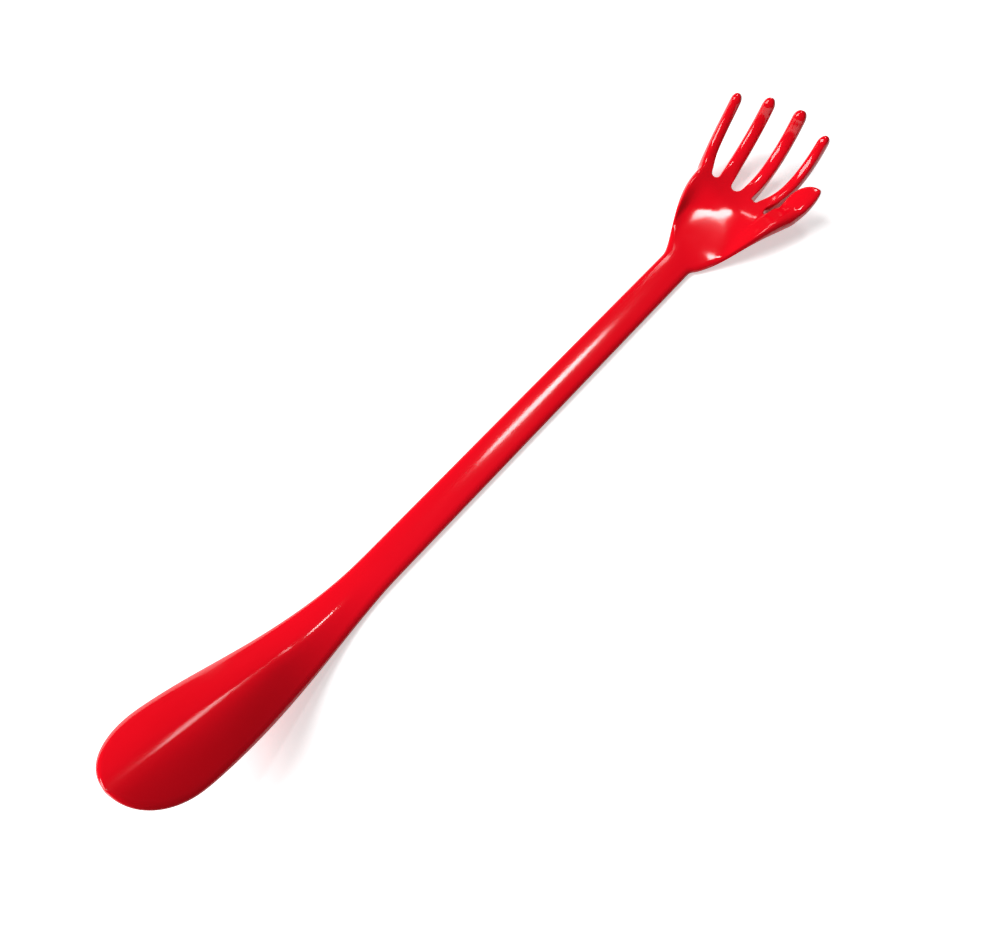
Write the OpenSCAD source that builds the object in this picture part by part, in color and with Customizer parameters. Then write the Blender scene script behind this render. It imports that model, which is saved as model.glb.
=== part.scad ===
// One-piece moulded back scratcher with a shoe horn at the other end of its handle.
// It lies on its flat back: +Y runs along the handle to the finger tips, +X points to the thumb
// side, +Z points to the palm side, and the origin is the middle of the handle's flat back.

/* [Finish] */
// Colour of the moulding
colour = "crimson"; // [crimson, limegreen, dodgerblue]

/* [Handle] */
// Straight length of the handle, from the shoe horn to the wrist
handle_l = 236; // [160:1:320]
// Width of the handle
handle_w = 19; // [15:0.5:26]
// Thickness of the handle along its middle
handle_t = 4.6; // [3.5:0.1:7]
// How far in from the handle's edges their rounding reaches
handle_edge_r = 3.4; // [1:0.1:6]
// How far the front of the handle falls from its middle to its edges
handle_crown = 0.8; // [0:0.1:1.5]

/* [Shoe horn] */
// Length of the flaring part of the horn along its curve
flare_l = 115.5; // [80:0.5:150]
// Length of the rounded end of the horn
round_end_l = 26.5; // [18:0.5:40]
// Widest width of the horn
horn_w = 41; // [34:0.5:60]
// Wall of the horn
horn_t = 2.6; // [1.8:0.1:4]
// Depth of the horn's hollow where it is widest
horn_depth = 10; // [4:0.5:16]
// Length over which the flat handle turns into that hollow
arch_l = 88; // [40:1:140]
// Angle through which the horn bends forward
horn_bend = 29.5; // [10:0.5:50]
// Radius of that bend along the back of the horn
bend_r = 103; // [90:1:200]
// Length of the horn before the bend starts
bend_lead = 13; // [0:1:40]

/* [Palm] */
// Distance from the wrist to the farthest web
palm_l = 63.5; // [50:0.5:80]
// Thickness of the palm
palm_t = 5; // [3.5:0.1:7]
// How far in from the palm's edges their rounding reaches
palm_edge_r = 3; // [1:0.1:6]
// Height of the dished palm's edge beside the little finger above its middle
little_rise = 6.5; // [2:0.5:14]
// Height of the dished palm's edge beside the thumb above its middle
thumb_rise = 10; // [2:0.5:18]
// How far the hand's middle lies towards the thumb from the handle's middle
hand_shift = 3.1; // [0:0.1:6]
// How much nearer the wrist than the farthest one each web is, from the little finger to the thumb
web_drops = [2.7, 1, 0, 7.1]; // [0:0.1:12]
// Widths of the webs, from the little finger to the thumb
web_gaps = [4.6, 6.2, 3.9, 3.2]; // [2.5:0.1:8]
// Rounding at the bottom of each web
web_r = 2.2; // [1:0.1:4]

/* [Fingers] */
// Depth of the fingers, the thumb and the webs at the roots, front to back
finger_d = 8.4; // [6:0.1:11]
// Width of the little finger
little_w = 7.4; // [5:0.1:9]
// Length of the little finger beyond the palm
little_l = 48; // [30:0.5:60]
// Width of the ring finger
ring_w = 9.4; // [5:0.1:10]
// Length of the ring finger beyond the palm
ring_l = 58; // [35:0.5:70]
// Width of the middle finger
middle_w = 9.1; // [5:0.1:10]
// Length of the middle finger beyond the palm
middle_l = 61.5; // [35:0.5:75]
// Width of the index finger
index_w = 7.8; // [5:0.1:10]
// Length of the index finger beyond the palm
index_l = 56.5; // [35:0.5:70]
// Width of the thumb
thumb_w = 12.9; // [9:0.1:15]
// Length of the thumb beyond the palm
thumb_l = 27; // [18:0.5:36]

/* [Hidden] */

// Each list below runs from the little finger to the thumb
digit_w = [little_w, ring_w, middle_w, index_w, thumb_w];
digit_l = [little_l, ring_l, middle_l, index_l, thumb_l];
// Shares of each root's width and depth that are left at the tip
taper = [0.89, 0.8, 0.9, 0.83, 0.95];
deep_taper = [0.89, 0.8, 0.9, 0.83, 0.65];
// Lean of each digit from the handle's line at its root and at its tip, in degrees
root_lean = [-23, -10, 2, 19, 24];
tip_lean = [-0.5, -2.5, -9.5, -9, 4];
// Share of each digit's length over which its lean changes
lean_share = [1, 1, 1, 1, 0.6];
// Forward curl that each digit reaches at its tip, and how late along its length it curls
tip_curl = [76, 89, 96, 77, 42];
curl_power = [0.81, 1.23, 1.37, 1.23, 0.84];
// Length of each rounded tip over its half width, and how far the tip lies to the thumb side
tip_round = [1.1, 1.1, 1.1, 1.1, 1.9];
tip_skew = [0, 0, 0, 0, 0.95];
// How square a digit's section is, with an oval at 2: along its sides at the root, and at the tip
root_square = 3;
tip_square = [2.1, 2.1, 2.1, 2.1, 3];
// Share of a digit's length over which its root's section turns into its tip's
square_share = 0.35;
// Share of each digit's roll about its line that is left at its tip
tip_roll = [1, 1, 1, 1, 0.25];
// How far the backs of the digits stand off the surface that the handle lies on
back_lift = 0.3;

// Rings of the skin along the flare, the rounded end, the palm, a digit's length and its tip
flare_steps = 15;
end_steps = 7;
palm_steps = 12;
digit_steps = 9;
tip_steps = 4;
// Columns of the skin across one side of a digit, and across a web
digit_columns = 5;
web_columns = 3;
// Share of a flat section's thickness that lies behind the line of its edges
edge_line = 0.42;
// How late the horn flares, and the width of the soft ridge along its front over its own width
flare_power = 1.11;
ridge_share = 0.45;
// How early the palm spreads on its little finger side and on its thumb side
little_spread = 0.75;
thumb_spread = 0.77;
// Shares of the palm's length: section changed from the handle's, dish at full depth, roots begin
palm_start = 0.5;
dish_share = 0.75;
root_start = 0.55;
// How far the hand's outer sides end behind the web of the little finger and before that of the thumb
little_side_drop = 4;
thumb_side_rise = 2;
// How far the middle of a web's edge stands out, as a share of its depth
web_bulge = 0.2;
// Where the last ring of a digit's tip and of the horn's end lies, as an angle round that end
tip_angle = 80;
end_angle = 86;
// Steps that add up a digit's centre line
path_steps = 24;

digits = len(digit_w);
stride = digit_columns + web_columns;
front_n = digits * stride - web_columns;
ring_n = 2 * front_n + 2;
digit_n = 2 * digit_columns + 2;
wrist_y = handle_l / 2;
span_w = sum(digit_w) + sum(web_gaps);
web_y = [for (drop = web_drops) wrist_y + palm_l - drop];
// The line of the webs carried on to the outer sides of the hand
web_line = concat([web_y[0] - little_side_drop], web_y, [web_y[3] + thumb_side_rise]);
root_x = [
    for (j = [0:digits - 1])
        hand_shift - span_w / 2 + sum(digit_w, j) + sum(web_gaps, j) + digit_w[j] / 2
];
root_y = [for (j = [0:digits - 1]) (web_line[j] + web_line[j + 1]) / 2 + web_r];

function sum(list, n = undef, i = 0) =
    i < (is_undef(n) ? len(list) : n) ? list[i] + sum(list, n, i + 1) : 0;
function mix(a, b, t) = a + (b - a) * t;
function clamp(t) = min(1, max(0, t));
function ease(t) = let (c = clamp(t)) c * c * (3 - 2 * c);
// Share of the thickness left at a distance from the edge, in units of the rounding's reach
function rounding(distance) = sqrt(max(0, 1 - pow(max(0, 1 - distance), 2)));
// Column c of the skin: its place across the handle, closer set towards the edges
function column_u(c) = sin(90 * ((2 * c + 1) / front_n - 1));
// A closed ring: the front from -X to +X, the +X edge, the back again, and the -X edge
function ring(front, right, back, left) =
    concat(front, [right], [for (c = [len(back) - 1:-1:0]) back[c]], [left]);

// Height of a flat section in front (1) or behind (-1), at place v of its half width
function section_z(v, distance, side, t, crown) =
    let (edge_z = t * edge_line, left = rounding(distance))
    side > 0 ? edge_z + (t - crown * v * v - edge_z) * left : edge_z * (1 - left);

// The horn at distance l from the handle: turn of its bend, its back's middle, and half widths
function horn_turn(l) = min(horn_bend, max(0, l - bend_lead) / bend_r * 180 / PI);
function horn_place(l) =
    let (
        a = horn_turn(l),
        lead = min(l, bend_lead),
        rest = l - lead - bend_r * a * PI / 180
    )
    [
        -wrist_y - lead - bend_r * sin(a) - rest * cos(a),
        bend_r * (1 - cos(a)) + rest * sin(a)
    ];
function flare_share(l) = ease(pow(clamp(l / flare_l), flare_power));
function flare_half_w(l) = mix(handle_w, horn_w, flare_share(l)) / 2;
function end_share(l) = let (past = clamp((l - flare_l) / round_end_l)) sqrt(1 - past * past);
// A point x across the horn and so far out from its back's middle, set square to the bend
function horn_set(l, x, out) =
    let (a = horn_turn(l), place = horn_place(l))
    [x, place[0] + out * sin(a), place[1] + out * cos(a)];
// The flat section laid along two straight slopes that meet in a soft ridge
ridge_slope = 2 * horn_depth / horn_w / (sqrt(ridge_share * ridge_share + 1) - ridge_share);
function horn_point(l, u, side) =
    let (
        flare = flare_half_w(l),
        half_w = flare * end_share(l),
        x = half_w * u,
        t = mix(handle_t, horn_t, flare_share(l)),
        distance = half_w * (1 - abs(u)) / min(half_w, handle_edge_r),
        z = section_z(x / flare, distance, side, t, handle_crown * t / handle_t),
        slope = ridge_slope * ease(l / arch_l),
        ridge = ridge_share * flare,
        reach = sqrt(ridge * ridge + x * x),
        tilt = atan(slope * x / reach)
    )
    horn_set(l, x + z * sin(tilt), slope * (ridge - reach) + z * cos(tilt));
function horn_line(l, side) = [for (c = [0:front_n - 1]) horn_point(l, column_u(c), side)];
function horn_ring(l) =
    ring(horn_line(l, 1), horn_point(l, 1, -1), horn_line(l, -1), horn_point(l, -1, -1));

// The dished palm's back at the roots, and its slope there as an angle
function dish_rise(x) = x < hand_shift ? little_rise : thumb_rise;
function dish_z(x) = dish_rise(x) * pow(2 * (x - hand_shift) / span_w, 2);
function dish_roll(x) = atan(8 * dish_rise(x) * (x - hand_shift) / pow(span_w, 2));
function root_z(x) = dish_z(x) + finger_d / 2 + back_lift;

// Digit j at share s of its length: heading and centre
function heading(j, s) = [
    mix(root_lean[j], tip_lean[j], min(1, s / lean_share[j])),
    tip_curl[j] * pow(s, curl_power[j])
];
function along(h) = [cos(h[1]) * sin(h[0]), cos(h[1]) * cos(h[0]), sin(h[1])];
function digit_place(j, s) =
    let (headings = [for (k = [0.5:path_steps]) along(heading(j, s * k / path_steps))])
    [root_x[j], root_y[j], root_z(root_x[j])]
        + s * digit_l[j] / path_steps * ([for (k = headings) 1] * headings);
function tip_l(j) = tip_round[j] * digit_w[j] / 2 / digit_l[j];
function tip_share(j, s) = let (past = clamp((s - 1 + tip_l(j)) / tip_l(j))) sqrt(1 - past * past);
function squared(v, square) = sign(v) * pow(abs(v), 2 / square);
function is_outer(j, turn) = (j == 0 && cos(turn) < 0) || (j == digits - 1 && cos(turn) > 0);
// The root's section at an angle that turns from its thumb side over its front: it lies on the dish
// with flat faces, but the outer sides of the hand are round
function root_section(j, turn) =
    let (
        x = digit_w[j] / 2 * squared(cos(turn), root_square),
        depth = finger_d / 2 * (is_outer(j, turn) ? squared(sin(turn), root_square) : sign(sin(turn))),
        here = root_x[j] + x * cos(root_lean[j]),
        slope = dish_roll(here)
    )
    [x - depth * sin(slope), dish_z(here) - dish_z(root_x[j]) + depth * cos(slope)];
// The oval further out, tapered, rolled about its line and closed at the tip
function oval_section(j, s, turn) =
    let (
        left = tip_share(j, s),
        roll = dish_roll(root_x[j]) * mix(1, tip_roll[j], s),
        half_w = digit_w[j] / 2 * mix(1, taper[j], s),
        half_d = finger_d / 2 * mix(1, deep_taper[j], s),
        x = half_w * (squared(cos(turn), tip_square[j]) * left + tip_skew[j] * (1 - left)),
        z = half_d * squared(sin(turn), tip_square[j]) * left
    )
    [x * cos(roll) - z * sin(roll), x * sin(roll) + z * cos(roll)];
function digit_point(j, s, turn) =
    let (
        head = heading(j, s),
        place = mix(root_section(j, turn), oval_section(j, s, turn), ease(s / square_share)),
        across = [cos(head[0]), -sin(head[0]), 0],
        forward = [-sin(head[0]) * sin(head[1]), -cos(head[0]) * sin(head[1]), cos(head[1])]
    )
    digit_place(j, s) + across * place[0] + forward * place[1];
function digit_turn(k) = 180 - 180 * (k + 1) / (digit_columns + 1);
function digit_line(j, s, side) =
    [for (k = [0:digit_columns - 1]) digit_point(j, s, side * digit_turn(k))];
function digit_ring(j, s) =
    ring(digit_line(j, s, 1), digit_point(j, s, 0), digit_line(j, s, -1), digit_point(j, s, 180));
function digit_stations(j) = concat(
    [for (i = [1:digit_steps]) (1 - tip_l(j)) * i / digit_steps],
    [for (i = [1:tip_steps]) 1 - tip_l(j) * (1 - sin(tip_angle * i / tip_steps))]
);

// Sides of the digits at their roots, and the web beyond digit j: a half round dip between two sides
right_roots = [for (j = [0:digits - 1]) digit_point(j, 0, 0)];
left_roots = [for (j = [0:digits - 1]) digit_point(j, 0, 180)];
function web_point(j, k) =
    let (
        t = (k + 1) / (web_columns + 1),
        side = mix(right_roots[j], left_roots[j + 1], t),
        dip = (right_roots[j][1] + left_roots[j + 1][1]) / 2 - web_y[j]
    )
    [side[0], side[1] - dip * sqrt(1 - pow(2 * t - 1, 2)), root_z(side[0])];
// The front or the back of a web, square to the dish
function web_face(p, side) =
    let (slope = dish_roll(p[0]))
    p + side * finger_d / 2 * [-sin(slope), 0, cos(slope)];
// Where column c of the skin reaches the finger roots: on a digit, or on a web
function root_point(c, side) =
    let (j = floor(c / stride), k = c % stride)
    k < digit_columns
        ? digit_point(j, 0, side * digit_turn(k))
        : web_face(web_point(j, k - digit_columns), side);
front_roots = [for (c = [0:front_n - 1]) root_point(c, 1)];
back_roots = [for (c = [0:front_n - 1]) root_point(c, -1)];

// The palm at share s from the wrist to the roots: how far a column has spread to its root
function spread(u, s) = mix(ease(pow(s, little_spread)), pow(s, thumb_spread), (u + 1) / 2);
function palm_x(u, s, root) = mix(handle_w / 2 * u, root[0], spread(u, s));
function palm_point(u, s, root, side) =
    let (
        x = palm_x(u, s, root),
        left = palm_x(-1, s, left_roots[0]),
        right = palm_x(1, s, right_roots[digits - 1]),
        middle = hand_shift * ease(s),
        v = (x - middle) / (x < middle ? middle - left : right - middle),
        change = ease(s / palm_start),
        distance = min(x - left, right - x) / mix(handle_edge_r, palm_edge_r, change),
        t = mix(handle_t, palm_t, change),
        flat_z = section_z(v, distance, side, t, handle_crown * (1 - change)),
        rise = (x < middle ? little_rise : thumb_rise) * ease(s / dish_share)
    )
    [
        x,
        mix(wrist_y, root[1], s),
        mix(flat_z + rise * v * v, root[2], ease((s - root_start) / (1 - root_start)))
    ];
function palm_line(s, roots, side) =
    [for (c = [0:front_n - 1]) palm_point(column_u(c), s, roots[c], side)];
function palm_ring(s) = ring(
    palm_line(s, front_roots, 1),
    palm_point(1, s, right_roots[digits - 1], -1),
    palm_line(s, back_roots, -1),
    palm_point(-1, s, left_roots[0], -1)
);

// The skin's wide rings, from the horn's rounded end to the finger roots
wide_rings = concat(
    [for (i = [end_steps:-1:1]) horn_ring(flare_l + round_end_l * sin(end_angle * i / end_steps))],
    [for (i = [flare_steps:-1:0]) horn_ring(flare_l * i / flare_steps)],
    [for (i = [0:palm_steps]) palm_ring(i / palm_steps)]
);
horn_tip = horn_set(flare_l + round_end_l, 0, horn_t * edge_line);
// Middle line of each web's edge: the side of one digit, the web, and the side of the next
web_n = web_columns + 2;
web_points = [
    for (j = [0:digits - 2])
        each concat(
            [right_roots[j]],
            [for (k = [0:web_columns - 1]) web_point(j, k) + [0, web_bulge * finger_d, 0]],
            [left_roots[j + 1]]
        )
];
digit_rings = [for (j = [0:digits - 1]) [for (s = digit_stations(j)) digit_ring(j, s)]];
tips = [for (j = [0:digits - 1]) digit_point(j, 1, 0)];
skin_points = concat(
    [horn_tip],
    [for (r = wide_rings) each r],
    web_points,
    [for (j = digit_rings) for (r = j) each r],
    tips
);

// Places of the skin's points in that list
wide_n = len(wide_rings);
stations_n = digit_steps + tip_steps;
first_web = 1 + wide_n * ring_n;
first_digit = first_web + web_n * (digits - 1);
first_tip = first_digit + digits * stations_n * digit_n;
function front_at(c) = 1 + (wide_n - 1) * ring_n + c;
function back_at(c) = front_at(ring_n - 2 - c);
function wide_row(r) = [for (i = [0:ring_n - 1]) 1 + r * ring_n + i];
function root_row(j) =
    let (c = j * stride)
    concat(
        [for (k = [0:digit_columns - 1]) front_at(c + k)],
        [j < digits - 1 ? first_web + web_n * j : front_at(front_n)],
        [for (k = [digit_columns - 1:-1:0]) back_at(c + k)],
        [j > 0 ? first_web + web_n * j - 1 : front_at(ring_n - 1)]
    );
function digit_row(j, r) =
    r < 0 ? root_row(j) : [for (i = [0:digit_n - 1]) first_digit + (j * stations_n + r) * digit_n + i];

// Faces between two lines of points, and a fan that closes a ring on one point
function strip(a, b, n) = [
    for (i = [0:n - 1])
        let (k = (i + 1) % len(a))
        each [[a[i], b[i], b[k]], [a[i], b[k], a[k]]]
];
function fan(tip, row) = [for (i = [0:len(row) - 1]) [tip, row[i], row[(i + 1) % len(row)]]];
function flip(faces) = [for (f = faces) [f[0], f[2], f[1]]];
function web_faces(j) =
    let (
        c = j * stride + digit_columns - 1,
        front = [for (i = [0:web_n - 1]) front_at(c + i)],
        middle = [for (i = [0:web_n - 1]) first_web + web_n * j + i],
        back = [for (i = [0:web_n - 1]) back_at(c + i)]
    )
    concat(strip(front, middle, web_n - 1), strip(middle, back, web_n - 1));
skin_faces = concat(
    fan(0, wide_row(0)),
    [for (r = [0:wide_n - 2]) each strip(wide_row(r), wide_row(r + 1), ring_n)],
    [for (j = [0:digits - 2]) each web_faces(j)],
    [
        for (j = [0:digits - 1])
            for (r = [-1:stations_n - 2])
                each strip(digit_row(j, r), digit_row(j, r + 1), digit_n)
    ],
    [for (j = [0:digits - 1]) each flip(fan(first_tip + j, digit_row(j, stations_n - 1)))]
);

module scratcher() {
    color(colour)
        polyhedron(points = skin_points, faces = skin_faces, convexity = 8);
}

scratcher();
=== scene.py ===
# %% [markdown]
# # A one-piece back scratcher with a shoe horn
#
# The real object is a single glossy red moulding: a cupped hand with four curled fingers and a
# thumb, a flat handle with rounded edges, and a shoe horn that bends forward at the other end.
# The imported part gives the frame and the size. This lesson builds the visible skin over it as one
# smooth closed mesh, finishes it as moulded plastic and sets up the picture.

import bmesh
import bpy
import numpy as np
from mathutils import Matrix, Vector


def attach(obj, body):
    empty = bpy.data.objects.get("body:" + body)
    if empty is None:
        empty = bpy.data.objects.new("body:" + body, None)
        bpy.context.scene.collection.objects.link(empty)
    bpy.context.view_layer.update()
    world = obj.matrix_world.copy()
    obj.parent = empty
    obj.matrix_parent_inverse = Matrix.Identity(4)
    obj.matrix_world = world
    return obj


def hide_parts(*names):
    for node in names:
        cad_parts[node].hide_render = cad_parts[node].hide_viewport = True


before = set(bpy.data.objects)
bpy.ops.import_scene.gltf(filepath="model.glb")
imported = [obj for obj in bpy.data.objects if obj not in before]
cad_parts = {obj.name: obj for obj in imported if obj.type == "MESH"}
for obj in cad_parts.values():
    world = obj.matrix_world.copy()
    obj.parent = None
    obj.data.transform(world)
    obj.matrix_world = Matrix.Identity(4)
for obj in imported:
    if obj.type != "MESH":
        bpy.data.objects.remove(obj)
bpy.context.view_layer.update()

# %% [markdown]
# ## One net for the whole moulding
#
# A moulding like this is described by a few dozen sizes, nearly all of them the ones that drive
# the solid part, and each step below starts with its own. The ridge of the horn, the floor of the
# palm and the thumb's outline are worked out more finely here, within a few millimetres of the
# solid, because a gloss shows every change of slope. Sizes are in millimetres and degrees, and the
# mesh is scaled to metres once, at the end.
#
# The skin is one net. Its columns run from the horn's rounded end over the handle and the palm
# into the fingers, so a highlight can follow them without a seam. Nine columns go up the front of
# each digit and three go to each web between two digits. Across the handle the same columns are
# set closer together towards the edges, where the surface turns fastest.

# %% Columns and small helpers
MM = 0.001
DIGITS, FRONT_Q, WEB_COLUMNS = 5, 9, 3
# Share of the thickness, from the back, at which the front and the back meet in the edge
EDGE_LINE = 0.42
front_n = DIGITS * FRONT_Q + (DIGITS - 1) * WEB_COLUMNS
ring_n = 2 * front_n + 2
column_u = np.sin(np.pi / 2 * ((2 * np.arange(front_n) + 1) / front_n - 1))


def mix(a, b, t):
    """The value that lies share t of the way from a to b."""
    return a + (b - a) * t


def ease(t):
    """Smooth step from 0 to 1: three t squared less two t cubed, held at both ends."""
    c = np.clip(t, 0, 1)
    return c * c * (3 - 2 * c)


def section_z(v, distance, t, crown):
    """Front and back heights of a flat section of thickness t. At place v of the half width the
    front falls by the crown times v squared. Near the edge both faces close on the edge line
    along a quarter ellipse, with the distance in units of the rounding's reach."""
    edge = t * EDGE_LINE
    left = np.sqrt(np.maximum(0, 1 - np.maximum(0, 1 - distance) ** 2))
    return edge + (t - crown * v * v - edge) * left, edge * (1 - left)


def close_rings(front, right, back, left):
    """Rings as one array: front from -X to +X, right edge, back again, left edge."""
    return np.concatenate((front, right[:, None], back[:, ::-1], left[:, None]), axis=1)


print("columns in front", front_n, "points in a ring", ring_n)

# %% [markdown]
# ## Handle and shoe horn
#
# The handle is a flat strip with a slightly crowned front and rounded edges. The horn carries on
# from it. It could be cut from a bent plate, but a moulder thinks of a section that changes along
# a path: the strip widens, thins and folds back along its middle into two slopes with a ridge
# between them, narrow near the handle and softer towards the end, and the path itself bends
# forward by a fixed angle. So the horn is that section swept as whole arrays, one row for each
# station along the path.

# %% Sizes of the handle and the horn
HANDLE_L, HANDLE_W, HANDLE_T = 236.0, 19.0, 4.6
HANDLE_EDGE_R, HANDLE_CROWN = 3.4, 0.8
FLARE_L, FLARE_POWER, ROUND_END_L = 115.5, 1.11, 26.5
HORN_W, HORN_T, HORN_BEND, BEND_R, BEND_LEAD = 41.0, 2.6, 29.5, 103.0, 13.0
# Slope of the horn's two sides, and the length over which the flat handle folds into them
HORN_SLOPE, ARCH_L = 0.48, 88.0
# Ridge's width over the half width near the handle and at the end, and where that changes
RIDGE_UPPER, RIDGE_END, RIDGE_START, RIDGE_L = 0.12, 0.44, 60.0, 55.0
# Least half width, so that the very end can be divided by
THIN = 1e-6
WRIST_Y = HANDLE_L / 2
print("handle", HANDLE_L, "x", HANDLE_W, "mm, horn", HORN_W, "mm wide")


# %% The horn's section folded about its ridge and swept along its bend
def horn_rings(l):
    """Closed rings of the horn at distances l from the handle. The path is straight, bends round
    a circle, and is straight again. Across it the back falls along a hyperbola, slope times the
    ridge's width less the root of the sum of its square and x squared, and the wall's thickness
    is laid square to that curve."""
    l = np.asarray(l, float)[:, None]
    u = np.concatenate((column_u, (-1.0, 1.0)))[None]
    lead = np.minimum(l, BEND_LEAD)
    bend = np.minimum(np.radians(HORN_BEND), np.maximum(0, l - BEND_LEAD) / BEND_R)
    rest = l - lead - BEND_R * bend
    path_y = -WRIST_Y - lead - BEND_R * np.sin(bend) - rest * np.cos(bend)
    path_z = BEND_R * (1 - np.cos(bend)) + rest * np.sin(bend)
    grow = ease(np.clip(l / FLARE_L, 0, 1) ** FLARE_POWER)
    flare = mix(HANDLE_W, HORN_W, grow) / 2
    past = np.clip((l - FLARE_L) / ROUND_END_L, 0, 1)
    half = np.maximum(flare * np.sqrt(1 - past * past), THIN)
    t = mix(HANDLE_T, HORN_T, grow)
    x = half * u
    distance = (half - np.abs(x)) / np.minimum(half, HANDLE_EDGE_R)
    front_z, back_z = section_z(x / flare, distance, t, HANDLE_CROWN * t / HANDLE_T)
    slope = HORN_SLOPE * ease(l / ARCH_L)
    ridge = flare * mix(RIDGE_UPPER, RIDGE_END, ease((l - RIDGE_START) / RIDGE_L))
    reach = np.hypot(ridge, x)
    tilt = np.arctan(slope * x / reach)

    def lay(z):
        """Points at height z over the folded back, turned with the path's bend."""
        out = slope * (ridge - reach) + z * np.cos(tilt)
        y, up = path_y + out * np.sin(bend), path_z + out * np.cos(bend)
        return np.stack((x + z * np.sin(tilt), y, up), -1)

    front, back = lay(front_z), lay(back_z)
    return close_rings(front[:, :-2], back[:, -1], back[:, :-2], back[:, -2])


print("horn's path", FLARE_L + ROUND_END_L, "mm")

# %% Rings of the horn and the handle
END_STEPS, FLARE_STEPS, HANDLE_STEPS = 12, 40, 40
# Part of the end's quarter turn that has rings, and the handle's ends that have none
END_TURN, HANDLE_GAP = 88, 3
end_turn = np.radians(END_TURN) * np.arange(END_STEPS, 0, -1) / END_STEPS
end_l = FLARE_L + ROUND_END_L * np.sin(end_turn)
flare_l = FLARE_L * np.arange(FLARE_STEPS, -1, -1) / FLARE_STEPS
horn = horn_rings(np.concatenate((end_l, flare_l)))
horn_tip = horn_rings([FLARE_L + ROUND_END_L]).mean(axis=1)
handle = np.repeat(horn[-1:], HANDLE_STEPS, axis=0)
handle_y = np.linspace(HANDLE_GAP - WRIST_Y, WRIST_Y - HANDLE_GAP, HANDLE_STEPS)
handle[:, :, 1] = handle_y[:, None]
print("horn rings", len(horn), "handle rings", len(handle))

# %% [markdown]
# ## Fingers and thumb
#
# Each digit is a tapering rod. Its centre line starts on the palm, leans sideways and curls
# forward, and the curl grows along its length, late in the long fingers and early in the thumb.
# It could be a bent cylinder, but adding up small steps along that changing heading gives the line
# more freely. The section is nearly square at the root, so that it leaves the palm without a ridge,
# and turns into an oval further out. The tip is rounded off like the end of an ellipse. The two
# middle fingers turn a little about their own line, so that their fronts face the palm. The thumb
# swells half way, and its tip is blunter and pushed to the outer side, which gives it the leaf
# shape of the real one. The lists run from the little finger to the thumb.

# %% Roots of the digits on the dished palm
DIGIT_W = np.array((7.4, 9.4, 9.1, 7.8, 12.9))
DIGIT_L = np.array((48.0, 58.0, 61.5, 56.5, 27.0))
FINGER_D, BACK_LIFT = 8.4, 0.3
PALM_L, LITTLE_RISE, THUMB_RISE, HAND_SHIFT = 63.5, 6.5, 10.0, 3.1
# How much nearer the wrist than the farthest one each web is, and how wide it is
WEB_DROPS, WEB_GAPS = np.array((2.7, 1.0, 0.0, 7.1)), np.array((4.6, 6.2, 3.9, 3.2))
WEB_R, LITTLE_SIDE_DROP, THUMB_SIDE_RISE = 2.2, 4.0, 2.0
span_w = DIGIT_W.sum() + WEB_GAPS.sum()
web_y = WRIST_Y + PALM_L - WEB_DROPS
web_line = np.concatenate(([web_y[0] - LITTLE_SIDE_DROP], web_y, [web_y[-1] + THUMB_SIDE_RISE]))
before = np.concatenate(([0], np.cumsum(DIGIT_W[:-1] + WEB_GAPS)))
root_x = HAND_SHIFT - span_w / 2 + before + DIGIT_W / 2
root_y = (web_line[:-1] + web_line[1:]) / 2 + WEB_R


def dish(x):
    """Height of the palm's back at the roots and its slope as an angle: a parabola on each side
    of the hand's middle, steeper towards the thumb."""
    v = 2 * (x - HAND_SHIFT) / span_w
    rise = np.where(v < 0, LITTLE_RISE, THUMB_RISE)
    return rise * v * v, np.arctan(4 * rise * v / span_w)


dish_z, root_roll = dish(root_x)
root_z = dish_z + FINGER_D / 2 + BACK_LIFT
print("roots at x", np.round(root_x, 1).tolist(), "z", np.round(root_z, 1).tolist())

# %% Headings of the digits
# Lean from the handle's line at the root and at the tip, and the share over which it changes
ROOT_LEAN = np.array((-23.0, -10.0, 2.0, 19.0, 24.0))
TIP_LEAN = np.array((-0.5, -2.5, -9.5, -9.0, 4.0))
LEAN_SHARE = np.array((1.0, 1.0, 1.0, 1.0, 0.6))
# Forward curl at the tip, and how late along the length it comes
TIP_CURL = np.array((76.0, 89.0, 96.0, 77.0, 42.0))
CURL_POWER = np.array((0.81, 1.23, 1.37, 1.23, 0.84))


def per_digit(values, like):
    """One value for each digit, with as many axes as the array like, whose first is the digit."""
    return values.reshape((DIGITS,) + (1,) * (like.ndim - 1))


def heading(s):
    """Lean and curl of each digit at shares s of its length (digits first): the lean changes
    evenly over its share of the length, and the curl grows with a power of s."""
    start, end, over = (per_digit(a, s) for a in (ROOT_LEAN, TIP_LEAN, LEAN_SHARE))
    curl = per_digit(TIP_CURL, s) * s ** per_digit(CURL_POWER, s)
    return np.radians(mix(start, end, np.minimum(1, s / over))), np.radians(curl)


print("curl at the tips", TIP_CURL.tolist())

# %% Section of a digit at its root
# Squareness of a section, with an ellipse at 2, and the decimals that are kept of an angle's sine
ROOT_SQUARE, DECIMALS = 3.0, 12


def cosine(turn):
    """Cosine with tiny remainders taken off, so that its sign is 0 at a right angle."""
    return np.round(np.cos(turn), DECIMALS)


def sine(turn):
    """Sine with tiny remainders taken off, so that its sign is 0 at a half turn."""
    return np.round(np.sin(turn), DECIMALS)


def squared(v, square):
    """Cosine or sine raised to two over the squareness, with its sign kept."""
    return np.sign(v) * np.abs(v) ** (2 / square)


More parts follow.
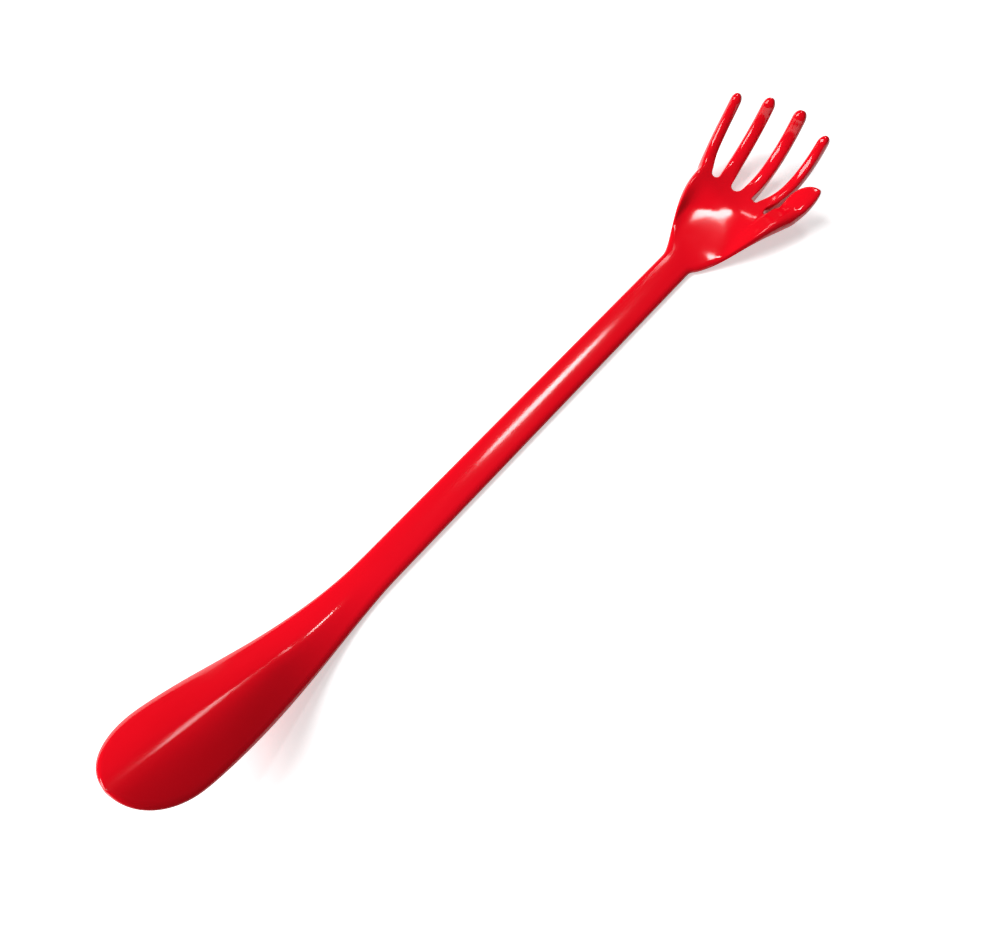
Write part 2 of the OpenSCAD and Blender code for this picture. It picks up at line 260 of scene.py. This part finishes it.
def root_section(turn):
    """Section of each digit at its root, across and to the front, at angles turn. It lies on the
    dish with flat faces half the depth away from the middle, square to the slope, and the outer
    sides of the hand are round."""
    outer = np.zeros((DIGITS, len(turn)), bool)
    outer[0], outer[-1] = cosine(turn) < 0, cosine(turn) > 0
    x = DIGIT_W[:, None] / 2 * squared(cosine(turn), ROOT_SQUARE)
    depth = FINGER_D / 2 * np.where(outer, squared(sine(turn), ROOT_SQUARE), np.sign(sine(turn)))
    z, slope = dish(root_x[:, None] + x * np.cos(np.radians(ROOT_LEAN))[:, None])
    return x - depth * np.sin(slope), z - dish_z[:, None] + depth * np.cos(slope)


print("root section", DIGIT_W.tolist(), "x", FINGER_D, "mm")

# %% Section of a digit further out
# Shares of the root's width and depth that are left at the tip, and the swell half way
TAPER = np.array((0.89, 0.8, 0.9, 0.83, 0.95))
DEEP_TAPER = np.array((0.89, 0.8, 0.9, 0.83, 0.65))
SWELL = np.array((0.0, 0.0, 0.0, 0.0, 0.22))
TIP_SQUARE = np.array((2.6, 2.6, 2.6, 2.6, 3.0))
# Length of the rounded tip over the half width, how far the tip lies to the outer side, and how
# blunt it is
TIP_ROUND = np.array((1.1, 1.1, 1.1, 1.1, 1.9))
TIP_SKEW = np.array((0.0, 0.0, 0.0, 0.0, 0.5))
TIP_BLUNT = np.array((2.0, 2.0, 2.0, 2.0, 2.6))
# Share of the palm's slope that is left at the tip, and a further turn there
TIP_ROLL = np.array((1.0, 1.0, 1.0, 1.0, 0.25))
TIP_TURN = np.array((0.0, -9.0, -9.0, 0.0, 0.0))
tip_l = TIP_ROUND * DIGIT_W / 2 / DIGIT_L


def oval_section(s, turn):
    """Section further out: a superellipse that tapers, swells half way along towards the other
    fingers, is rolled about the digit's line and is closed at the tip by one less a power of the
    share past, to the inverse of that power: 2 makes an ellipse, and more makes it blunter."""
    at = s[..., None]
    tip, blunt, square = (per_digit(a, at) for a in (tip_l, TIP_BLUNT, TIP_SQUARE))
    past = np.clip((at - 1 + tip) / tip, 0, 1)
    closing = (1 - past**blunt) ** (1 / blunt)
    swell = per_digit(SWELL, at) * np.sin(np.pi * at)
    root_half = per_digit(DIGIT_W, at) / 2
    half_w = root_half * (mix(1, per_digit(TAPER, at), at) + swell)
    half_d = FINGER_D / 2 * mix(1, per_digit(DEEP_TAPER, at), at)
    skew = per_digit(TIP_SKEW, at) * (1 - closing)
    x = half_w * (squared(cosine(turn), square) * closing + skew) - root_half * swell
    z = half_d * squared(sine(turn), square) * closing
    turned = np.radians(per_digit(TIP_TURN, at)) * at
    roll = per_digit(root_roll, at) * mix(1, per_digit(TIP_ROLL, at), at) + turned
    return x * np.cos(roll) - z * np.sin(roll), x * np.sin(roll) + z * np.cos(roll)


print("rounded tips", np.round(tip_l * DIGIT_L, 1).tolist(), "mm long")

# %% Digits as rods along curling centre lines
# Share of the length over which the root's section turns into the oval, and steps of the line
SQUARE_SHARE, LINE_STEPS = 0.35, 24


def digit_points(s, turn):
    """Points of all digits at shares s of their lengths (digits by stations) and at angles turn
    round the section. The centre line is the mean of steps along the heading times the length,
    and the root's section eases into the oval."""
    lean, curl = heading(s[..., None] * (np.arange(LINE_STEPS) + 0.5) / LINE_STEPS)
    step = np.stack((np.cos(curl) * np.sin(lean), np.cos(curl) * np.cos(lean), np.sin(curl)), -1)
    root = np.stack((root_x, root_y, root_z), -1)
    centre = root[:, None] + (s * DIGIT_L[:, None])[..., None] * step.mean(axis=2)
    lean, curl = (angle[..., None] for angle in heading(s))
    change = ease(s / SQUARE_SHARE)[..., None]
    (root_a, root_b), (oval_a, oval_b) = root_section(turn), oval_section(s, turn)
    a, b = mix(root_a[:, None], oval_a, change), mix(root_b[:, None], oval_b, change)
    across = np.stack((np.cos(lean), -np.sin(lean), 0 * lean), -1)
    back_x, back_y = np.sin(lean) * np.sin(curl), np.cos(lean) * np.sin(curl)
    forward = np.stack((-back_x, -back_y, np.cos(curl)), -1)
    return centre[:, :, None] + a[..., None] * across + b[..., None] * forward


DIGIT_STEPS, CAP_STEPS = 18, 6
# Part of the rounded tip's quarter turn that has rings
CAP_TURN = 82
body_s = (1 - tip_l)[:, None] * np.arange(DIGIT_STEPS + 1) / DIGIT_STEPS
cap_turn = np.radians(CAP_TURN) * np.arange(1, CAP_STEPS + 1) / CAP_STEPS
station = np.concatenate((body_s, 1 - tip_l[:, None] * (1 - np.sin(cap_turn))), axis=1)
front_turn = np.pi - np.pi * (np.arange(FRONT_Q) + 1) / (FRONT_Q + 1)
digits = digit_points(station, np.concatenate((front_turn, [0.0], -front_turn[::-1], [np.pi])))
tips = digit_points(np.ones((DIGITS, 1)), np.zeros(1))[:, 0, 0]
print("digit rings", digits.shape[:3], "tips reach z", np.round(tips[:, 2], 1).tolist())

# %% [markdown]
# ## Palm and webs
#
# The palm is a dish, the form that needs most care, because it has to lead one flat strip into
# five rods. At the wrist it has the handle's section. From there its floor climbs to the fingers
# with an even bend, it is hollowed across by a flat curve with a steep rim, and at its end every
# column meets the root of its own digit or the bottom of a web. It could be modelled by hand as a
# cage of a few large faces, but then a gloss shows where they join, so every height is worked out
# from the place in the palm alone. The rim is rounded over a fixed distance from the edge, however
# wide the palm is there. Each web's bottom is half an ellipse between two digits, so the gap ends
# in a soft U, as a mould cutter leaves it.

# %% Web bottoms, and where each column ends
# Bulge of a web's edge towards the finger tips, over the depth of the fingers
WEB_BULGE = 0.2
side_right, side_left = digits[:-1, 0, FRONT_Q], digits[1:, 0, -1]
web_t = (np.arange(WEB_COLUMNS) + 1) / (WEB_COLUMNS + 1)
web_mid = mix(side_right[:, None], side_left[:, None], web_t[None, :, None])
dip = (side_right[:, 1] + side_left[:, 1]) / 2 - web_y
web_mid[..., 1] -= dip[:, None] * np.sqrt(1 - (2 * web_t - 1) ** 2)
web_dish, web_roll = dish(web_mid[..., 0])
web_mid[..., 2] = web_dish + FINGER_D / 2 + BACK_LIFT
web_edge = web_mid + np.array((0, WEB_BULGE * FINGER_D, 0))
web_up = np.stack((-np.sin(web_roll), 0 * web_roll, np.cos(web_roll)), -1)


def root_row(side):
    """Ends of the columns in front (1) or behind (-1): on a digit, or on a web."""
    half = slice(0, FRONT_Q) if side > 0 else slice(2 * FRONT_Q, FRONT_Q, -1)
    on_digit = digits[:, 0, half]
    on_web = web_mid + side * FINGER_D / 2 * web_up
    both = np.concatenate((on_digit[:-1], on_web), axis=1).reshape(-1, 3)
    return np.concatenate((both, on_digit[-1]))


print("web bottoms at y", np.round(web_y, 1).tolist())

# %% Outline and climb of the palm
PALM_STEPS, CLIMB_SAMPLES = 26, 201
LITTLE_SPREAD, THUMB_SPREAD = 0.75, 0.77
# Shares of the palm's length: where the floor starts to climb, over how much the climb grows
# steeper, and where it levels off
CLIMB_START, CLIMB_RAMP, CLIMB_END = 0.2, 0.52, 0.93
palm_s = (np.arange(PALM_STEPS + 1) / PALM_STEPS)[:, None]
root_left, root_right = digits[:1, 0, -1], digits[-1:, 0, FRONT_Q]
roots_y = min(root_row(1)[:, 1].min(), root_row(-1)[:, 1].min())
share = np.linspace(0, 1, CLIMB_SAMPLES)
steep = np.clip((share - CLIMB_START) / CLIMB_RAMP, 0, 1)
steep = steep - ease((share - CLIMB_END) / (1 - CLIMB_END))
climb = np.cumsum(steep) / steep.sum()


def palm_x(u, root):
    """Columns spread from the handle to their roots, softly on the little finger's side."""
    spread = mix(ease(palm_s**LITTLE_SPREAD), palm_s**THUMB_SPREAD, (u + 1) / 2)
    return mix(HANDLE_W / 2 * u, root[:, 0], spread)


print("palm from y", WRIST_Y, "to", round(float(roots_y), 1))

# %% The palm's bowl
PALM_T, PALM_EDGE_R = 4.2, 3.0
# Shares of the palm's length over which the handle's section and the tilt change
PALM_START, TILT_START = 0.5, 0.35
# How far the bowl's middle lies to the little finger's side, and its slope towards the thumb
BOWL_SHIFT, BOWL_TILT = 7.5, 0.055
# Power of the steep rim, and the share of a softer square in it on each side
RIM_POWER, LITTLE_SOFT, THUMB_SOFT = 5.0, 0.22, 0.45
# Powers by which tilt and climb fade towards the rim on each side
LITTLE_FADE, THUMB_FADE = 4, 2
# Shares of the palm's length where its middle and its rim start to ease into the roots
ROOT_START, EDGE_START = 0.7, 0.2


def palm_points(u, root, side):
    """Palm at its stations (rows) and columns u: the flat section, lifted by the rise of that
    side times a mix of the square and a high power of the place v across. Inside the rim it is
    tilted to the thumb and climbs to the height of the roots, and near its end it eases into
    them, sooner at the rim. Every height depends on the place in the palm alone, x and the share
    t of its length, so the bowl has no folds."""
    x, y = palm_x(u, root), mix(WRIST_Y, root[:, 1], palm_s)
    t = np.clip((y - WRIST_Y) / (roots_y - WRIST_Y), 0, 1)
    left = np.interp(y, mix(WRIST_Y, root_left[0, 1], palm_s[:, 0]), palm_x(-1, root_left)[:, 0])
    right = np.interp(y, mix(WRIST_Y, root_right[0, 1], palm_s[:, 0]), palm_x(1, root_right)[:, 0])
    middle = HAND_SHIFT * ease(t) - BOWL_SHIFT * np.sin(np.pi * t)
    v = (x - middle) / np.where(x < middle, middle - left, right - middle)
    change = ease(t / PALM_START)
    distance = np.minimum(x - left, right - x) / mix(HANDLE_EDGE_R, PALM_EDGE_R, change)
    front, back = section_z(v, distance, mix(HANDLE_T, PALM_T, change), HANDLE_CROWN * (1 - change))
    rise = np.where(x < middle, LITTLE_RISE, THUMB_RISE) * ease(t)
    soft = np.where(x < middle, LITTLE_SOFT, THUMB_SOFT)
    gain = BACK_LIFT + (FINGER_D - PALM_T if side > 0 else 0)
    z = (front if side > 0 else back) + rise * mix(np.abs(v) ** RIM_POWER, v * v, soft)
    inside = 1 - np.where(v < 0, v**LITTLE_FADE, v**THUMB_FADE)
    tilt = BOWL_TILT * (x - middle) * ease(t / TILT_START)
    z = z + inside * (tilt + gain * np.interp(t, share, climb))
    start = mix(EDGE_START, ROOT_START, inside)
    z = mix(z, root[:, 2], ease((t - start) / (1 - start)))
    return np.stack((x, y, z), -1)


palm = close_rings(
    palm_points(column_u, root_row(1), 1),
    palm_points(np.array([1.0]), root_right, -1)[:, 0],
    palm_points(column_u, root_row(-1), -1),
    palm_points(np.array([-1.0]), root_left, -1)[:, 0],
)
print("palm rings", len(palm), "width at the roots", round(float(np.ptp(palm[-1, :, 0])), 1))

# %% [markdown]
# ## One closed skin
#
# All rings, webs and digits become one mesh of four-sided faces. They could be separate pieces
# joined by a boolean, but the real moulding has no seam, and a gloss would show one. So the digits
# start on points that the palm and the webs already own, and nothing is welded afterwards. A
# subdivision surface then smooths the net once, which rounds the webs and the tips the way
# polished mould steel does.


# %% Points and their places
def numbered(start, shape):
    """Point numbers that count up from start, laid out in that shape."""
    return start + np.arange(np.prod(shape)).reshape(shape)


wide = np.concatenate((horn, handle, palm))
stations_n, digit_n = station.shape[1], 2 * FRONT_Q + 2
net = numbered(1, (len(wide), ring_n))
web_net = numbered(net[-1, -1] + 1, (DIGITS - 1, WEB_COLUMNS))
inner = numbered(web_net[-1, -1] + 1, (DIGITS - 1, 2))
digit_net = numbered(inner[-1, -1] + 1, (DIGITS, stations_n - 1, digit_n))
tip_net = numbered(digit_net[-1, -1, -1] + 1, (DIGITS,))
points = np.concatenate((
    horn_tip,
    wide.reshape(-1, 3),
    web_edge.reshape(-1, 3),
    np.stack((side_right, side_left), axis=1).reshape(-1, 3),
    digits[:, 1:].reshape(-1, 3),
    tips,
))
print("points", len(points))


# %% Faces as index arrays
def quads(a, b):
    """Four-sided faces between neighbouring rows of points a and b."""
    return np.stack((a[..., :-1], a[..., 1:], b[..., 1:], b[..., :-1]), -1).reshape(-1, 4)


def ring_quads(rings):
    """Four-sided faces between each ring and the next, closed all the way round."""
    looped = np.concatenate((rings, rings[..., :1]), axis=-1)
    return quads(looped[..., :-1, :], looped[..., 1:, :])


def fan(tip, ring):
    """Triangles from one point to a closed ring."""
    return np.stack((np.full(ring.shape, tip), np.roll(ring, -1), ring), -1)


front_root, back_root = net[-1, :front_n], net[-1, front_n + 1:ring_n - 1][::-1]
first = np.arange(DIGITS) * (FRONT_Q + WEB_COLUMNS)
pick = first[:, None] + np.arange(FRONT_Q)
right_point = np.append(inner[:, 0], net[-1, front_n])
left_point = np.append(net[-1, -1], inner[:, 1])
root_net = np.concatenate(
    (front_root[pick], right_point[:, None], back_root[pick][:, ::-1], left_point[:, None]), axis=1
)
web_pick = first[:-1, None] + FRONT_Q - 1 + np.arange(WEB_COLUMNS + 2)
web_middle = np.concatenate((inner[:, :1], web_net, inner[:, 1:]), axis=1)
all_digits = np.concatenate((root_net[:, None], digit_net), axis=1)
four_sided = np.concatenate((
    ring_quads(net),
    quads(front_root[web_pick], web_middle),
    quads(web_middle, back_root[web_pick]),
    ring_quads(all_digits),
))
three_sided = np.concatenate(
    [fan(0, net[0])] + [fan(tip_net[j], all_digits[j, -1])[:, ::-1] for j in range(DIGITS)]
)
print("four-sided", len(four_sided), "three-sided", len(three_sided))

# %% Mesh, normals and smoothing
skin_mesh = bpy.data.meshes.new("scratcher_skin")
skin_mesh.from_pydata((points * MM).tolist(), [], four_sided.tolist() + three_sided.tolist())
net_check = bmesh.new()
net_check.from_mesh(skin_mesh)
bmesh.ops.recalc_face_normals(net_check, faces=net_check.faces)
open_edges = sum(1 for e in net_check.edges if len(e.link_faces) != 2)
volume = net_check.calc_volume(signed=True)
net_check.to_mesh(skin_mesh)
net_check.free()
skin_mesh.polygons.foreach_set("use_smooth", np.ones(len(skin_mesh.polygons), bool))
skin_mesh.update()
scratcher = bpy.data.objects.new("scratcher_skin", skin_mesh)
bpy.context.scene.collection.objects.link(scratcher)
smoothing = scratcher.modifiers.new("smoothing", "SUBSURF")
smoothing.levels = smoothing.render_levels = 1
print("open edges", open_edges, "volume mm3", round(volume / MM**3))

# %% [markdown]
# ## Glossy moulded plastic
#
# The finish is a clear, even red with a hard gloss. One colour and one roughness could do, but up
# close such plastic is never quite uniform: the melt leaves faint streaks of colour along the
# flow, the polish varies slowly, and shrinkage leaves a slow ripple. These are small, so each one
# only nudges the colour, the roughness or the bump, and all of them read Object coordinates, so
# they stay put on the piece.

# %% Helpers for the plastic's patterns
plastic = bpy.data.materials.new("gloss_red_plastic")
plastic.use_nodes = True
nodes, link = plastic.node_tree.nodes, plastic.node_tree.links.new
place = nodes.new("ShaderNodeTexCoord")
# Range that most of a noise's values fall in
NOISE_LOW, NOISE_HIGH = 0.3, 0.7


def noise(name, scale, detail, stretch):
    """Noise on Object coordinates, stretched along the handle by a Mapping node."""
    mapping = nodes.new("ShaderNodeMapping")
    mapping.inputs["Scale"].default_value = stretch
    link(place.outputs["Object"], mapping.inputs["Vector"])
    texture = nodes.new("ShaderNodeTexNoise")
    texture.name = name
    texture.inputs["Scale"].default_value = scale
    texture.inputs["Detail"].default_value = detail
    link(mapping.outputs["Vector"], texture.inputs["Vector"])
    return texture.outputs["Fac"]


def spread_over(value, low, high):
    """Carries a noise's range to the one from low to high and holds it there."""
    node = nodes.new("ShaderNodeMapRange")
    node.inputs["From Min"].default_value = NOISE_LOW
    node.inputs["From Max"].default_value = NOISE_HIGH
    node.inputs["To Min"].default_value, node.inputs["To Max"].default_value = low, high
    link(value, node.inputs["Value"])
    return node.outputs["Result"]


print("material", plastic.name)

# %% Colour, polish and ripple
DEEP_RED, BRIGHT_RED = (0.76, 0.0015, 0.0090, 1.0), (0.84, 0.0025, 0.0130, 1.0)
# Places of a colour mix's sockets: its share, its two colours and its result
MIX_SHARE, MIX_A, MIX_B, MIX_RESULT = 0, 6, 7, 2
shader = nodes["Principled BSDF"]
shader.inputs["IOR"].default_value = 1.49
shader.inputs["Specular IOR Level"].default_value = 0.5
flow = noise("melt_flow", scale=30.0, detail=4.0, stretch=(1.0, 0.12, 1.0))
colour = nodes.new("ShaderNodeMix")
colour.data_type = "RGBA"
colour.inputs[MIX_A].default_value = DEEP_RED
colour.inputs[MIX_B].default_value = BRIGHT_RED
link(spread_over(flow, low=0.0, high=1.0), colour.inputs[MIX_SHARE])
link(colour.outputs[MIX_RESULT], shader.inputs["Base Color"])
polish = noise("polish", scale=45.0, detail=3.0, stretch=(1.0, 0.4, 1.0))
link(spread_over(polish, low=0.08, high=0.13), shader.inputs["Roughness"])
ripple = noise("mould_ripple", scale=60.0, detail=2.0, stretch=(1.0, 0.3, 1.0))
bump = nodes.new("ShaderNodeBump")
bump.inputs["Strength"].default_value = 0.025
bump.inputs["Distance"].default_value = 0.0004
link(ripple, bump.inputs["Height"])
link(bump.outputs["Normal"], shader.inputs["Normal"])
scratcher.data.materials.append(plastic)
print("material nodes", len(nodes))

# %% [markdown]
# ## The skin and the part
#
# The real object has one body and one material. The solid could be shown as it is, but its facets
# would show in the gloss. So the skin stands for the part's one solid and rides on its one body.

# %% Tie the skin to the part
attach(scratcher, "root")
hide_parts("scratcher")
print("skin rides on root")

# %% [markdown]
# ## Paper and light
#
# The part lies on its back on white paper, lit by soft daylight from the little finger's side,
# so the shadow falls to the thumb's side. The paper is a plain diffuse sheet that adds a little
# light of its own where it is seen, straight on or mirrored, which keeps it white round a soft
# grey shadow. One large window does the lighting. Two lamps beyond the hand add little light and
# are there to be mirrored: a long strip gives the streak on the handle and the patch in the palm,
# and a low, flat window gives the line on the ridge of the horn. They could stand close by, but
# far off they are seen at the same angle from both ends of the part.

# %% White paper
PAPER_REACH, PAPER_GAP, PAPER_LIFT = 2.5, 0.0002, 0.55
FLOOR_Z = min(0.0, float(points[:, 2].min())) * MM - PAPER_GAP
corners = PAPER_REACH * np.array(((-1, -1, 0), (1, -1, 0), (1, 1, 0), (-1, 1, 0)))
corners[:, 2] = FLOOR_Z
paper_mesh = bpy.data.meshes.new("paper")
paper_mesh.from_pydata(corners.tolist(), [], [(0, 1, 2, 3)])
paper = bpy.data.objects.new("paper", paper_mesh)
bpy.context.scene.collection.objects.link(paper)
print("paper at z", round(FLOOR_Z, 5))

# %% Finish of the paper
paper_finish = bpy.data.materials.new("white_paper")
paper_finish.use_nodes = True
p_nodes, p_link = paper_finish.node_tree.nodes, paper_finish.node_tree.links.new
sheet = p_nodes["Principled BSDF"]
sheet.inputs["Base Color"].default_value = (0.86, 0.86, 0.86, 1.0)
sheet.inputs["Roughness"].default_value = 0.9
sheet.inputs["Specular IOR Level"].default_value = 0.0
sheet.inputs["Emission Color"].default_value = (1.0, 1.0, 1.0, 1.0)
rays = p_nodes.new("ShaderNodeLightPath").outputs
seen = rays["Is Camera Ray"]
for ray in ("Is Glossy Ray", "Is Transmission Ray"):
    either = p_nodes.new("ShaderNodeMath")
    either.operation = "MAXIMUM"
    p_link(seen, either.inputs[0])
    p_link(rays[ray], either.inputs[1])
    seen = either.outputs[0]
lift = p_nodes.new("ShaderNodeMath")
lift.operation = "MULTIPLY"
lift.inputs[1].default_value = PAPER_LIFT
p_link(seen, lift.inputs[0])
p_link(lift.outputs[0], sheet.inputs["Emission Strength"])
paper.data.materials.append(paper_finish)
print("paper nodes", len(p_nodes))

# %% Soft daylight
scene = bpy.context.scene
scene.view_settings.view_transform = "Standard"
sky = bpy.data.worlds.new("room")
sky.use_nodes = True
glow = sky.node_tree.nodes["Background"]
glow.inputs["Color"].default_value = (1.0, 1.0, 1.0, 1.0)
glow.inputs["Strength"].default_value = 0.05
scene.world = sky


def window(name, shape, direction, distance, width, height, power):
    """An area light at a direction and distance, facing the middle of the part. Its height runs
    along the handle, as far as that facing allows."""
    lamp = bpy.data.lights.new(name, "AREA")
    lamp.shape = shape
    lamp.size, lamp.size_y, lamp.energy = width, height, power
    holder = bpy.data.objects.new(name, lamp)
    scene.collection.objects.link(holder)
    away = Vector(direction).normalized()
    along = (Vector((0, 1, 0)) - away * away.y).normalized()
    turn = Matrix((along.cross(away), along, away)).transposed()
    holder.matrix_world = Matrix.Translation(away * distance) @ turn.to_4x4()


window("key_window", "RECTANGLE", direction=(-0.55, -0.45, 0.70), distance=2.4,
       width=1.50, height=1.50, power=79.0)
window("ceiling_strip", "ELLIPSE", direction=(-0.275, 0.436, 0.857), distance=4.0,
       width=0.33, height=1.06, power=19.5)
window("far_window", "RECTANGLE", direction=(-0.42, 0.662, 0.62), distance=4.0,
       width=0.80, height=0.16, power=3.8)

# %% [markdown]
# ## Camera
#
# The picture looks down on the part from near the hand, with the horn at the lower left. A camera
# could be placed by eye, but here its three angles, its distance and its focal length in pixels
# come from laying the outline of a model over the photographed one. That model's handle was
# narrower, so the distances are scaled by the two widths.

# %% Camera at the photograph's viewing angle
SIDE, TILT, SPIN = np.radians((14.517, -19.126, 43.732))
DISTANCE, FOCAL_PX, OFF_X, OFF_Y = 338.237, 725.138, 22.232, 35.434
FIT_HANDLE_W, FIT_SHIFT_Y = 17.0, 1.7
SENSOR_MM, PICTURE_PX, NEAR = 36.0, 1000.0, 0.01
right = np.array((np.cos(SIDE), 0.0, -np.sin(SIDE)))
view = np.array((np.sin(SIDE) * np.cos(TILT), np.sin(TILT), np.cos(SIDE) * np.cos(TILT)))
up = np.cross(view, right)
image_x = np.cos(SPIN) * right + np.sin(SPIN) * up
image_y = -np.sin(SPIN) * right + np.cos(SPIN) * up
eye = HANDLE_W / FIT_HANDLE_W * (DISTANCE * view - OFF_X * image_x - OFF_Y * image_y)
eye = eye + np.array((0.0, FIT_SHIFT_Y, 0.0))
lens = bpy.data.cameras.new("camera")
lens.sensor_fit = "HORIZONTAL"
lens.sensor_width = SENSOR_MM
lens.lens = FOCAL_PX * SENSOR_MM / PICTURE_PX
lens.clip_start = NEAR
camera = bpy.data.objects.new("camera", lens)
scene.collection.objects.link(camera)
pose = Matrix.Identity(4)
pose.col[0][:3], pose.col[1][:3], pose.col[2][:3] = image_x, image_y, view
pose.col[3][:3] = eye * MM
camera.matrix_world = pose
scene.camera = camera
print("camera at", np.round(eye, 1).tolist(), "lens", round(lens.lens, 2))

# %% Update the view layer, and the end
bpy.context.view_layer.update()
